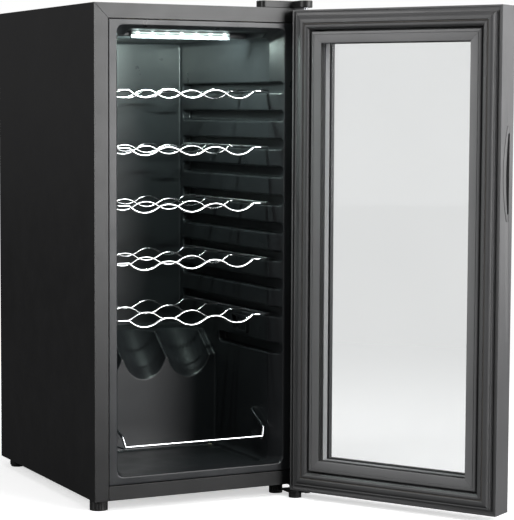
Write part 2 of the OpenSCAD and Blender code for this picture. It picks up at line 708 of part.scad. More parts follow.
module hinge_bushings() color([0.85, 0.85, 0.82]) on_door()
    for (z = [door_bottom, door_top - bush_l + 0.1]) translate([hinge_x, hinge_y, z]) difference() {
        cylinder(r = bush_r - pin_clear, h = bush_l - 0.1);
        translate([0, 0, -1]) cylinder(r = pin_r + pin_clear, h = bush_l + 2);
    }

module door_stop() color(black) on_door()
    sideways(hinge_x - 36, hinge_x - 26) polygon([
        [hinge_y - 14, door_bottom - 0.05], [hinge_y - 6, door_bottom - 0.05],
        [hinge_y - 8, door_bottom - 6], [hinge_y - 12, door_bottom - 6]
    ]);

cabinet_wrap();
bottom_cross_rail();
base_plate();
step_panel();
back_panel();
insulation_foam();
inner_liner();
light_housing();
light_lens();
light_board();
sensor_cover();
temperature_sensor();
evaporator_plate();
drain_tube();
condenser_coils();
compressor_shell();
compressor_base();
compressor_grommets();
compressor_bolts();
relay_cover();
evaporation_tray();
filter_dryer();
discharge_pipe();
suction_pipe();
control_box();
control_box_lid();
control_board();
cord_gland();
wall_spacers();
back_panel_screws();
front_foot_left();
front_foot_right();
rear_feet();
top_hinge_plate();
top_hinge_pin();
top_hinge_screws();
top_hinge_cover();
bottom_hinge_bracket();
bottom_hinge_pin();
bottom_hinge_screws();
hinge_foot();
bottle_guard();
wire_shelf_1();
wire_shelf_2();
wire_shelf_3();
wire_shelf_4();
wire_shelf_5();
door_frame();
handle_insert();
glazing_bead();
inner_pane();
glass_spacer();
outer_pane();
door_gasket();
gasket_magnets();
hinge_bushings();
door_stop();
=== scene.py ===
"""Looks of a freestanding wine cooler with its glass door open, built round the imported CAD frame.

Lengths are written in millimetres and pass through mm(); Blender gets metres. Y is counted from the front
face of the cabinet in all outlines, and the door is drawn closed and then swung open by door_place().
"""

import json
import math

import bmesh
import bpy
from mathutils import Matrix, Vector


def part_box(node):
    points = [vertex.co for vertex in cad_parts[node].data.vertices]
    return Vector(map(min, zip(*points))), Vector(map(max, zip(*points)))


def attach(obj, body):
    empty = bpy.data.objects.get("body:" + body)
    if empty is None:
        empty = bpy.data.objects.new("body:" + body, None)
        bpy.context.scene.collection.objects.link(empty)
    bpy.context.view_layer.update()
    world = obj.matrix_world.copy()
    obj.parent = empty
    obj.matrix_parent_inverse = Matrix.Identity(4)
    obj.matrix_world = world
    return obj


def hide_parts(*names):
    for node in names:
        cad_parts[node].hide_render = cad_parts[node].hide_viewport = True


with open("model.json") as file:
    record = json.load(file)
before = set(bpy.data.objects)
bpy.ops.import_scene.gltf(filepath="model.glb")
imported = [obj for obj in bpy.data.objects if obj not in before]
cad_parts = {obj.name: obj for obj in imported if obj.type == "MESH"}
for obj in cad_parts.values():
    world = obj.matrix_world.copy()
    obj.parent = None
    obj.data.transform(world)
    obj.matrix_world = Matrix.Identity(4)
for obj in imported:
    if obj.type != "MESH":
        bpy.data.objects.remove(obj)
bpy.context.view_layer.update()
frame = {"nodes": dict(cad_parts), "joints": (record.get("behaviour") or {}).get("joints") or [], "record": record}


# ---- frame values ----

def mm(value):
    return value / 1000


def to_mm(vector):
    return [c * 1000 for c in vector]


WRAP_LOW, WRAP_HIGH = (to_mm(v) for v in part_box("cabinet_wrap"))
LINER_LOW, LINER_HIGH = (to_mm(v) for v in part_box("inner_liner"))
FRONT_Y = WRAP_LOW[1]
HALF_W = WRAP_HIGH[0]
HINGE = next(j for j in frame["joints"] if j["name"] == "door_hinge")
HINGE_X = HINGE["pos_m"][0] * 1000
HINGE_Y = HINGE["pos_m"][1] * 1000 - FRONT_Y
DOOR_OPEN = -HINGE["range_deg"][0]
DOOR_LOW = to_mm(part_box("door_frame")[0])[2]
DOOR_HIGH = to_mm(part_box("door_frame")[1])[2]
DOOR_IN = HINGE_Y + 16
SHELVES = 5


# ---- materials ----

def node_tree(name):
    material = bpy.data.materials.new(name)
    material.use_nodes = True
    nodes = material.node_tree.nodes
    nodes.clear()
    output = nodes.new("ShaderNodeOutputMaterial")
    return material, nodes, material.node_tree.links, output


def noise(nodes, links, coordinates, scale, detail=3.0, stretch=(1, 1, 1)):
    """Output of a noise texture laid out by coordinates."""
    mapping = nodes.new("ShaderNodeMapping")
    mapping.inputs["Scale"].default_value = stretch
    links.new(coordinates, mapping.inputs["Vector"])
    texture = nodes.new("ShaderNodeTexNoise")
    texture.inputs["Scale"].default_value = scale
    texture.inputs["Detail"].default_value = detail
    links.new(mapping.outputs["Vector"], texture.inputs["Vector"])
    return texture.outputs["Fac"]


def span(nodes, links, source, low, high):
    """Spreads the usual middle range of a noise over low to high."""
    ramp = nodes.new("ShaderNodeMapRange")
    ramp.inputs["From Min"].default_value = 0.25
    ramp.inputs["From Max"].default_value = 0.75
    ramp.inputs["To Min"].default_value = low
    ramp.inputs["To Max"].default_value = high
    links.new(source, ramp.inputs["Value"])
    return ramp.outputs["Result"]


def finish_material(name, color, rough, metallic=0.0, specular=0.5, spread=0.1, rough_spread=0.05,
                    grain=900, depth=0.00004, patches=7, stretch=(1, 1, 1), coat=0.0, detail=3.0):
    """Solid finish: colour drifts by spread, roughness by rough_spread, and a fine grain raises the surface."""
    material, nodes, links, output = node_tree(name)
    shader = nodes.new("ShaderNodeBsdfPrincipled")
    links.new(shader.outputs["BSDF"], output.inputs["Surface"])
    place = nodes.new("ShaderNodeTexCoord").outputs["Object"]
    mix = nodes.new("ShaderNodeMix")
    mix.data_type = "RGBA"
    mix.inputs["A"].default_value = [c * (1 - spread) for c in color] + [1]
    mix.inputs["B"].default_value = [min(1, c * (1 + spread)) for c in color] + [1]
    links.new(span(nodes, links, noise(nodes, links, place, patches), 0, 1), mix.inputs["Factor"])
    links.new(mix.outputs["Result"], shader.inputs["Base Color"])
    smudge = noise(nodes, links, place, patches * 4, 4.0)
    links.new(span(nodes, links, smudge, rough - rough_spread, rough + rough_spread), shader.inputs["Roughness"])
    bump = nodes.new("ShaderNodeBump")
    bump.inputs["Strength"].default_value = 1.0
    bump.inputs["Distance"].default_value = depth
    links.new(noise(nodes, links, place, grain, detail, stretch), bump.inputs["Height"])
    links.new(bump.outputs["Normal"], shader.inputs["Normal"])
    shader.inputs["Metallic"].default_value = metallic
    shader.inputs["Specular IOR Level"].default_value = specular
    shader.inputs["Coat Weight"].default_value = coat
    return material


def glass_material():
    """Thin tinted glazing: what lies behind shows through, and the surface mirrors more at grazing angles."""
    material, nodes, links, output = node_tree("clear_glazing")
    clear = nodes.new("ShaderNodeBsdfTransparent")
    place = nodes.new("ShaderNodeTexCoord").outputs["Object"]
    tint = nodes.new("ShaderNodeMix")
    tint.data_type = "RGBA"
    tint.inputs["A"].default_value = (0.914, 0.918, 0.918, 1)
    tint.inputs["B"].default_value = (0.928, 0.931, 0.931, 1)
    links.new(span(nodes, links, noise(nodes, links, place, 2.2), 0, 1), tint.inputs["Factor"])
    links.new(tint.outputs["Result"], clear.inputs["Color"])
    gloss = nodes.new("ShaderNodeBsdfGlossy")
    gloss.inputs["Roughness"].default_value = 0.02
    gloss.inputs["Color"].default_value = (0.9, 0.92, 0.92, 1)
    fresnel = nodes.new("ShaderNodeFresnel")
    fresnel.inputs["IOR"].default_value = 1.45
    coated = nodes.new("ShaderNodeMath")
    coated.operation = "MULTIPLY"
    coated.inputs[1].default_value = 0.07
    links.new(fresnel.outputs["Fac"], coated.inputs[0])
    mix = nodes.new("ShaderNodeMixShader")
    links.new(coated.outputs["Value"], mix.inputs["Fac"])
    links.new(clear.outputs["BSDF"], mix.inputs[1])
    links.new(gloss.outputs["BSDF"], mix.inputs[2])
    links.new(mix.outputs["Shader"], output.inputs["Surface"])
    return material


def glow_material(name, color, strength, peak, pitch):
    """Frosted strip lit from behind: even glow with a brighter spot at every lamp along X."""
    material, nodes, links, output = node_tree(name)
    shader = nodes.new("ShaderNodeBsdfPrincipled")
    shader.inputs["Base Color"].default_value = (*color, 1)
    shader.inputs["Roughness"].default_value = 0.35
    shader.inputs["Emission Color"].default_value = (*color, 1)
    place = nodes.new("ShaderNodeTexCoord").outputs["Object"]
    along = nodes.new("ShaderNodeSeparateXYZ")
    links.new(place, along.inputs["Vector"])
    wave = along.outputs["X"]
    for operation, value in (("MULTIPLY", 2 * math.pi / pitch), ("COSINE", 0), ("MULTIPLY_ADD", 0.5), ("POWER", 12)):
        step = nodes.new("ShaderNodeMath")
        step.operation = operation
        links.new(wave, step.inputs[0])
        step.inputs[1].default_value = value
        step.inputs[2].default_value = 0.5
        wave = step.outputs["Value"]
    level = nodes.new("ShaderNodeMapRange")
    level.inputs["To Min"].default_value = strength
    level.inputs["To Max"].default_value = peak
    links.new(wave, level.inputs["Value"])
    links.new(level.outputs["Result"], shader.inputs["Emission Strength"])
    links.new(shader.outputs["BSDF"], output.inputs["Surface"])
    return material


M = {
    "black_steel": finish_material("black_powder_coat", (0.010, 0.010, 0.0105), 0.36, grain=1400,
                                   depth=0.00002, rough_spread=0.03),
    "flange_steel": finish_material("satin_black_rail", (0.012, 0.012, 0.0125), 0.38, grain=1400, depth=0.00002),
    "zinc_steel": finish_material("zinc_plate", (0.55, 0.56, 0.58), 0.34, metallic=1.0, spread=0.18, patches=40,
                                  rough_spread=0.1),
    "liner": finish_material("formed_liner", (0.021, 0.0225, 0.025), 0.33, grain=500, depth=0.00003,
                             rough_spread=0.06),
    # The door and glazing-bead plastics are black; most of the grey set here is painted sheen, raised above their own
    # dark colour to stand for the light from the left that these faces reflect.
    "door": finish_material("door_plastic", (0.085, 0.085, 0.087), 0.36, grain=1800, depth=0.000012),
    "bead": finish_material("bead_plastic_painted_sheen", (0.175, 0.175, 0.178), 0.38, grain=1800, depth=0.000012),
    "black_plastic": finish_material("black_plastic", (0.012, 0.012, 0.012), 0.42, grain=1500, depth=0.00003),
    "gasket": finish_material("gasket_vinyl", (0.075, 0.075, 0.077), 0.42, grain=700, depth=0.00003),
    "magnet": finish_material("magnet_strip", (0.10, 0.09, 0.08), 0.7),
    "glass": glass_material(),
    "spacer": finish_material("spacer_alloy", (0.42, 0.42, 0.425), 0.6, metallic=0.1, grain=900,
                              stretch=(1, 1, 0.1)),
    "chrome": finish_material("bright_chrome", (0.82, 0.83, 0.85), 0.1, metallic=1.0, spread=0.04,
                              rough_spread=0.04, grain=260, depth=0.00001, patches=30),
    "copper": finish_material("copper_tube", (0.72, 0.36, 0.2), 0.28, metallic=1.0, spread=0.25, patches=60,
                              rough_spread=0.12),
    "foam": finish_material("foam", (0.85, 0.78, 0.55), 0.9, grain=300, depth=0.0004),
    "lens": glow_material("lit_lens", (0.82, 1.0, 0.94), 0.6, 6.0, mm(24)),
    "board": finish_material("circuit_board", (0.03, 0.16, 0.07), 0.4, spread=0.4, patches=300),
    "nylon": finish_material("natural_nylon", (0.7, 0.69, 0.66), 0.45, grain=1200),
    "enamel": finish_material("black_enamel", (0.012, 0.012, 0.013), 0.22, coat=0.4, grain=350, depth=0.00005),
    "rubber": finish_material("black_rubber", (0.02, 0.02, 0.02), 0.65, grain=900, depth=0.00006),
}

NODE_FINISH = {
    "cabinet_wrap": "black_steel", "bottom_cross_rail": "flange_steel", "base_plate": "zinc_steel",
    "step_panel": "zinc_steel", "back_panel": "black_steel", "insulation_foam": "foam", "inner_liner": "liner",
    "light_housing": "liner", "light_lens": "lens", "light_board": "board", "sensor_cover": "liner",
    "temperature_sensor": "copper", "evaporator_plate": "spacer", "drain_tube": "nylon",
    "condenser_coils": "zinc_steel", "compressor_shell": "enamel", "compressor_base": "enamel",
    "compressor_grommets": "rubber", "compressor_bolts": "zinc_steel", "relay_cover": "black_plastic",
    "evaporation_tray": "black_plastic", "filter_dryer": "copper", "discharge_pipe": "copper",
    "suction_pipe": "copper", "control_box": "nylon", "control_box_lid": "nylon", "control_board": "board",
    "cord_gland": "rubber", "wall_spacers": "black_plastic", "back_panel_screws": "zinc_steel",
    "front_foot_left": "black_plastic", "front_foot_right": "black_plastic", "rear_feet": "black_plastic",
    "top_hinge_plate": "zinc_steel", "top_hinge_pin": "zinc_steel", "top_hinge_screws": "zinc_steel",
    "top_hinge_cover": "black_plastic", "bottom_hinge_bracket": "black_steel", "bottom_hinge_pin": "zinc_steel",
    "bottom_hinge_screws": "zinc_steel", "hinge_foot": "black_plastic", "bottle_guard": "chrome",
    "door_frame": "door", "handle_insert": "door", "glazing_bead": "bead", "inner_pane": "glass",
    "glass_spacer": "spacer", "outer_pane": "glass", "door_gasket": "gasket", "gasket_magnets": "magnet",
    "hinge_bushings": "nylon", "door_stop": "black_plastic",
}
NODE_FINISH.update({f"wire_shelf_{i}": "chrome" for i in range(1, SHELVES + 1)})

BODY_OF = {n: body for body, members in frame["record"]["behaviour"]["bodies"].items() for n in members}

for node_name, finish in NODE_FINISH.items():
    cad_object = frame["nodes"][node_name]
    cad_object.data.materials.clear()
    cad_object.data.materials.append(M[finish])


# ---- mesh helpers ----

def add_piece(name, mesh, finish, node, replaces=True):
    """Puts a finished mesh in the scene on the body of a CAD node, and in place of that node."""
    piece = bpy.data.objects.new(name, mesh)
    bpy.context.scene.collection.objects.link(piece)
    if mesh.materials:
        mesh.materials.clear()
    for one in [finish] if isinstance(finish, str) else finish:
        mesh.materials.append(M[one])
    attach(piece, BODY_OF[node])
    if replaces:
        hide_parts(node)
    return piece


def smooth_by_angle(mesh, degrees=35):
    mesh.shade_smooth()
    mesh.set_sharp_from_angle(angle=math.radians(degrees))


def refined(node, bevel=0.8, segments=3, angle=35):
    """A copy of a CAD node with its edges rounded by bevel mm."""
    mesh = frame["nodes"][node].data.copy()
    mesh.name = f"{node}_look"
    bm = bmesh.new()
    bm.from_mesh(mesh)
    bmesh.ops.remove_doubles(bm, verts=bm.verts, dist=mm(0.004))
    bmesh.ops.dissolve_limit(bm, angle_limit=math.radians(0.4), verts=bm.verts, edges=bm.edges)
    bm.to_mesh(mesh)
    bm.free()
    smooth_by_angle(mesh, angle)
    piece = add_piece(f"{node}_look", mesh, NODE_FINISH[node], node)
    rounding = piece.modifiers.new("edges", "BEVEL")
    rounding.width = mm(bevel)
    rounding.segments = segments
    rounding.limit_method = "ANGLE"
    rounding.angle_limit = math.radians(angle)
    rounding.use_clamp_overlap = True
    rounding.harden_normals = True
    rounding.miter_outer = "MITER_ARC"
    return piece


def drawn_in(node, by):
    """A copy of a CAD node whose skin lies by mm inside the CAD one, so that it never shows through its cover."""
    mesh = frame["nodes"][node].data.copy()
    mesh.name = f"{node}_look"
    bm = bmesh.new()
    bm.from_mesh(mesh)
    bmesh.ops.remove_doubles(bm, verts=bm.verts, dist=mm(0.004))
    bmesh.ops.recalc_face_normals(bm, faces=bm.faces)
    normals = {v: v.normal.copy() for v in bm.verts}
    for v, normal in normals.items():
        v.co -= mm(by) * normal
    bm.to_mesh(mesh)
    bm.free()
    return add_piece(f"{node}_look", mesh, NODE_FINISH[node], node)


def tube_into(bm, points, radius, sides=12):
    """Adds a round tube with closed ends along points (Vectors in metres)."""
    rings = []
    tangent = (points[1] - points[0]).normalized()
    side = tangent.orthogonal().normalized()
    for i, point in enumerate(points):
        ahead = points[min(i + 1, len(points) - 1)] - points[max(i - 1, 0)]
        new_tangent = ahead.normalized()
        side = (tangent.rotation_difference(new_tangent) @ side).normalized()
        tangent = new_tangent
        up = tangent.cross(side)
        ring = []
        for k in range(sides):
            turn = 2 * math.pi * k / sides
            ring.append(bm.verts.new(point + radius * (math.cos(turn) * side + math.sin(turn) * up)))
        rings.append(ring)
    for a, b in zip(rings, rings[1:]):
        for k in range(sides):
            bm.faces.new((a[k], a[(k + 1) % sides], b[(k + 1) % sides], b[k]))
    for ring, turn_in in ((rings[0], True), (rings[-1], False)):
        bm.faces.new(list(reversed(ring)) if turn_in else ring)


def rounded_path(corners, bend, steps=6):
    """Points along a line of corners (mm) whose bends are arcs; returns Vectors in metres."""
    path = [Vector(corners[0])]
    for before, corner, after in zip(corners, corners[1:], corners[2:]):
        corner = Vector(corner)
        to_before = (Vector(before) - corner).normalized()
        to_after = (Vector(after) - corner).normalized()
        half = to_before.angle(to_after) / 2
        setback = min(bend / math.tan(half), (Vector(before) - corner).length * 0.48,
                      (Vector(after) - corner).length * 0.48)
        radius = setback * math.tan(half)
        middle = corner + (to_before + to_after).normalized() * (radius / math.sin(half))
        first = corner + to_before * setback - middle
        last = corner + to_after * setback - middle
        for k in range(steps + 1):
            path.append(middle + first.slerp(last, k / steps))
    path.append(Vector(corners[-1]))
    return [mm(1) * p for p in path]


def at_front(point):
    """A point whose Y is counted from the cabinet's front face, in the row frame (mm)."""
    return Vector((point[0], point[1] + FRONT_Y, point[2]))


def mesh_from(bm, name, smooth=40):
    bmesh.ops.recalc_face_normals(bm, faces=bm.faces)
    mesh = bpy.data.meshes.new(name)
    bm.to_mesh(mesh)
    bm.free()
    smooth_by_angle(mesh, smooth)
    return mesh


def door_place():
    """Turns a piece drawn on the closed door (mm, Y from the front face) into the open door, in metres."""
    hinge = Vector((HINGE_X, HINGE_Y, 0))
    swing = Matrix.Translation(hinge) @ Matrix.Rotation(math.radians(DOOR_OPEN), 4, "Z") @ Matrix.Translation(-hinge)
    return Matrix.Scale(mm(1), 4) @ Matrix.Translation((0, FRONT_Y, 0)) @ swing


def mitred_ring(profile, name, seam=0.25, painted_shade_sides=()):
    """Four lengths of a profile of (inset from the door's edge, y), which meet in mitres with a fine seam.

    The profile's sides whose numbers are listed in the last argument get the second material, a darker one that paints
    the shade falling on them."""
    bm = bmesh.new()
    count = len(profile)
    corners = ((-1, False), (1, False), (1, True), (-1, True))
    for i in range(4):
        rings = []
        for sx, top in (corners[i], corners[(i + 1) % 4]):
            rings.append([Vector((sx * (HALF_W - inset), y, DOOR_HIGH - inset if top else DOOR_LOW + inset))
                          for inset, y in profile])
        along = (rings[1][0] - rings[0][0]).normalized() * seam / 2
        a = [bm.verts.new(p + along) for p in rings[0]]
        b = [bm.verts.new(p - along) for p in rings[1]]
        for k in range(count):
            face = bm.faces.new((a[k], a[(k + 1) % count], b[(k + 1) % count], b[k]))
            # the listed sides take the second, darker material: painted shade on faces that lie in shadow
            face.material_index = 1 if k in painted_shade_sides else 0
        bm.faces.new(list(reversed(a)))
        bm.faces.new(b)
    bmesh.ops.recalc_face_normals(bm, faces=bm.faces)
    bm.transform(door_place())
    return mesh_from(bm, name, 30)


# ---- camera, light and floor ----

CAMERA_YAW, CAMERA_PITCH, CAMERA_ROLL = (math.radians(a) for a in (26.819, 4.638, 0.273))
CAMERA_AT = (-1184.28, -2521.96, 592.42)
CAMERA_LENS = 130.1
SENSOR = 36


def make_camera():
    ahead = Vector((math.sin(CAMERA_YAW) * math.cos(CAMERA_PITCH), math.cos(CAMERA_YAW) * math.cos(CAMERA_PITCH),
                    -math.sin(CAMERA_PITCH)))
    level = Vector((math.cos(CAMERA_YAW), -math.sin(CAMERA_YAW), 0))
    upward = level.cross(ahead)
    right = math.cos(CAMERA_ROLL) * level + math.sin(CAMERA_ROLL) * upward
    up = right.cross(ahead)
    turn = Matrix((right, up, -ahead)).transposed().to_4x4()
    data = bpy.data.cameras.new("camera")
    data.lens = CAMERA_LENS
    data.sensor_width = SENSOR
    data.clip_end = 60
    camera = bpy.data.objects.new("camera", data)
    bpy.context.scene.collection.objects.link(camera)
    camera.matrix_world = Matrix.Translation(mm(1) * at_front(CAMERA_AT)) @ turn
    bpy.context.scene.camera = camera


def softbox(name, azimuth, distance, height, width, tall, radiance, color=(1, 1, 1), aim_z=0.4):
    """Area light round the cooler. Azimuth counts from +X towards +Y, and radiance sets how bright it looks."""
    turn = math.radians(azimuth)
    place = Vector((distance * math.cos(turn), distance * math.sin(turn), height))
    data = bpy.data.lights.new(name, "AREA")
    data.shape = "RECTANGLE"
    data.size = width
    data.size_y = tall
    data.energy = radiance * math.pi * width * tall
    data.color = color
    light = bpy.data.objects.new(name, data)
    bpy.context.scene.collection.objects.link(light)
    look = Vector((0, 0, aim_z)) - place
    light.matrix_world = Matrix.Translation(place) @ look.to_track_quat("-Z", "Y").to_matrix().to_4x4()
    light.visible_camera = False
    return light


def cabinet_light(name, y, z, energy, tilt):
    """Light of the lamp strip under the ceiling of the cabinet; tilt turns it from straight down to the back."""
    data = bpy.data.lights.new(name, "AREA")
    data.shape = "RECTANGLE"
    data.size = mm(158)
    data.size_y = mm(3)
    data.energy = energy
    data.color = (0.80, 1.0, 0.93)
    light = bpy.data.objects.new(name, data)
    bpy.context.scene.collection.objects.link(light)
    light.location = mm(1) * at_front((0, y, z))
    light.rotation_euler = (math.radians(tilt), 0, 0)
    light.visible_camera = False


def make_lights():
    softbox("key_front_right", 302, 3.2, 1.15, 2.4, 2.5, 8.0, aim_z=0.7)
    softbox("edge_right", 353, 3.0, 1.3, 1.4, 2.2, 2.0, aim_z=0.6)
    softbox("fill_left", 176, 3.4, 1.5, 2.2, 2.6, 4.4, aim_z=0.6)
    softbox("top_soft", 250, 1.2, 3.4, 2.4, 2.4, 1.2)
    cabinet_light("cabinet_light", 73.5, 700.5, 1.1, 0)
    cabinet_light("cabinet_spill", 90, 688, 1.6, 100)


def make_world():
    """White behind everything that looks straight at it, and a dim graded studio for the rest."""
    world = bpy.data.worlds.new("studio")
    bpy.context.scene.world = world
    world.use_nodes = True
    nodes, links = world.node_tree.nodes, world.node_tree.links
    nodes.clear()
    output = nodes.new("ShaderNodeOutputWorld")
    seen = nodes.new("ShaderNodeBackground")
    seen.inputs["Color"].default_value = (1, 1, 1, 1)
    seen.inputs["Strength"].default_value = 1.0
    around = nodes.new("ShaderNodeBackground")
    place = nodes.new("ShaderNodeTexCoord")
    split = nodes.new("ShaderNodeSeparateXYZ")
    links.new(place.outputs["Generated"], split.inputs["Vector"])
    level = nodes.new("ShaderNodeMapRange")
    level.inputs["From Min"].default_value = -0.35
    level.inputs["From Max"].default_value = 0.6
    level.inputs["To Min"].default_value = 0.05
    level.inputs["To Max"].default_value = 0.22
    links.new(split.outputs["Z"], level.inputs["Value"])
    links.new(level.outputs["Result"], around.inputs["Strength"])
    path = nodes.new("ShaderNodeLightPath")
    mix = nodes.new("ShaderNodeMixShader")
    links.new(path.outputs["Is Camera Ray"], mix.inputs["Fac"])
    links.new(around.outputs["Background"], mix.inputs[1])
    links.new(seen.outputs["Background"], mix.inputs[2])
    links.new(mix.outputs["Shader"], output.inputs["Surface"])


def make_floor():
    """Plain pale floor that turns pure white away from the cooler, and looks dim in mirror reflections."""
    near_glow, far_glow = 0.53, 1.0
    material, nodes, links, output = node_tree("pale_floor")
    pale = nodes.new("ShaderNodeBsdfDiffuse")
    lift = nodes.new("ShaderNodeEmission")
    lift.inputs["Color"].default_value = (1, 1, 1, 1)
    reach = nodes.new("ShaderNodeVectorMath")
    reach.operation = "LENGTH"
    links.new(nodes.new("ShaderNodeTexCoord").outputs["Object"], reach.inputs[0])
    fade = nodes.new("ShaderNodeMapRange")
    fade.inputs["From Min"].default_value = 0.5
    fade.inputs["From Max"].default_value = 1.8
    fade.inputs["To Min"].default_value = near_glow
    fade.inputs["To Max"].default_value = far_glow
    links.new(reach.outputs["Value"], fade.inputs["Value"])
    links.new(fade.outputs["Result"], lift.inputs["Strength"])
    share = nodes.new("ShaderNodeMapRange")
    share.inputs["From Min"].default_value = near_glow
    share.inputs["From Max"].default_value = far_glow
    share.inputs["To Min"].default_value = 0.9
    share.inputs["To Max"].default_value = 0.0
    links.new(fade.outputs["Result"], share.inputs["Value"])
    links.new(share.outputs["Result"], pale.inputs["Color"])
    bright = nodes.new("ShaderNodeAddShader")
    links.new(pale.outputs["BSDF"], bright.inputs[0])
    links.new(lift.outputs["Emission"], bright.inputs[1])
    dim = nodes.new("ShaderNodeBsdfDiffuse")
    dim.inputs["Color"].default_value = (0.05, 0.05, 0.05, 1)
    path = nodes.new("ShaderNodeLightPath")
    mix = nodes.new("ShaderNodeMixShader")
    links.new(path.outputs["Is Camera Ray"], mix.inputs["Fac"])
    links.new(dim.outputs["BSDF"], mix.inputs[1])
    links.new(bright.outputs["Shader"], mix.inputs[2])
    links.new(mix.outputs["Shader"], output.inputs["Surface"])
    bm = bmesh.new()
    bmesh.ops.create_circle(bm, cap_ends=True, segments=96, radius=9)
    mesh = bpy.data.meshes.new("floor")
    bm.to_mesh(mesh)
    bm.free()
    mesh.materials.append(material)
    floor = bpy.data.objects.new("floor", mesh)
    bpy.context.scene.collection.objects.link(floor)


# ---- inner liner ----

WALL_X = 125
MOUTH = (137, 50, 710.5, 10)
CEILING = 697.5
WALL_R = 8
FLARE = 30
INNER_D = 355
BASIN_Z = 45
BASIN_X = 118
STEP_Y = 216
STEP_Z, STEP_TOP = 193, 229
STEP_SLOPE = math.radians(38)
CRADLE_R, CRADLE_Z = 38, 207
PITCH = 77
BAY = (112, 82, 706)
GROOVE_X = 139
GROOVE_Z = 281.3
GROOVE_STEP = 42.65
GROOVE_TALL = 16
LOW_GROOVE = (225, 205)
VOXEL = 1.5


def rounded_outline(x0, y0, x1, y1, r, steps=6):
    """Corner-rounded rectangle as a list of 2-D points, counter-clockwise."""
    points = []
    for cx, cy, start in ((x1 - r, y0 + r, -90), (x1 - r, y1 - r, 0), (x0 + r, y1 - r, 90), (x0 + r, y0 + r, 180)):
        for k in range(steps + 1):
            turn = math.radians(start + 90 * k / steps)
            points.append((cx + r * math.cos(turn), cy + r * math.sin(turn)))
    return points


def prism(outline_a, outline_b, place_a, place_b, name):
    """Closed solid between two outlines of the same length."""
    bm = bmesh.new()
    a = [bm.verts.new(place_a(*p)) for p in outline_a]
    b = [bm.verts.new(place_b(*p)) for p in outline_b]
    bm.faces.new(a)
    bm.faces.new(list(reversed(b)))
    for k in range(len(a)):
        n = (k + 1) % len(a)
        bm.faces.new((a[n], a[k], b[k], b[n]))
    bmesh.ops.recalc_face_normals(bm, faces=bm.faces)
    mesh = bpy.data.meshes.new(name)
    bm.to_mesh(mesh)
    bm.free()
    tool = bpy.data.objects.new(name, mesh)
    bpy.context.scene.collection.objects.link(tool)
    return tool


def upright(y):
    return lambda x, z: (x, y, z)


def across(x):
    return lambda y, z: (x, y, z)


def flat(z):
    return lambda x, y: (x, y, z)


def combine(base, tool, operation):
    change = base.modifiers.new("cut", "BOOLEAN")
    change.operation = operation
    change.object = tool
    change.solver = "EXACT"
    apply_modifiers(base)
    bpy.data.objects.remove(tool)


def apply_modifiers(piece):
    graph = bpy.context.evaluated_depsgraph_get()
    mesh = bpy.data.meshes.new_from_object(piece.evaluated_get(graph))
    piece.modifiers.clear()
    old = piece.data
    piece.data = mesh
    bpy.data.meshes.remove(old)


def step_solid():
    """The step over the compressor with its three neck troughs."""
    slope = (STEP_TOP - STEP_Z) / math.tan(STEP_SLOPE)
    outline = [(STEP_Y, 20), (STEP_Y, STEP_Z), (STEP_Y + slope, STEP_TOP), (INNER_D + 30, STEP_TOP), (INNER_D + 30, 20)]
    step = prism(outline, outline, across(-HALF_W), across(HALF_W), "step")
    along = Vector((0, math.cos(STEP_SLOPE), math.sin(STEP_SLOPE)))
    side, up = Vector((1, 0, 0)), Vector((0, -math.sin(STEP_SLOPE), math.cos(STEP_SLOPE)))
    ring = [(CRADLE_R * math.cos(math.radians(a)), CRADLE_R * math.sin(math.radians(a))) for a in range(0, 360, 6)]
    for i in (-1, 0, 1):
        start = Vector((i * PITCH, STEP_Y, CRADLE_Z)) - 60 * along
        stop = start + 260 * along
        trough = prism(ring, ring, lambda u, v, s=start: s + u * side + v * up,
                       lambda u, v, s=stop: s + u * side + v * up, "trough")
        combine(step, trough, "DIFFERENCE")
    return step


def groove_solid(side, z, back):
    outline = rounded_outline(3, z - GROOVE_TALL / 2, back, z + GROOVE_TALL / 2, 6)
    near, far = side * (WALL_X - 4), side * GROOVE_X
    return prism(outline, outline, across(near), across(far), "groove")


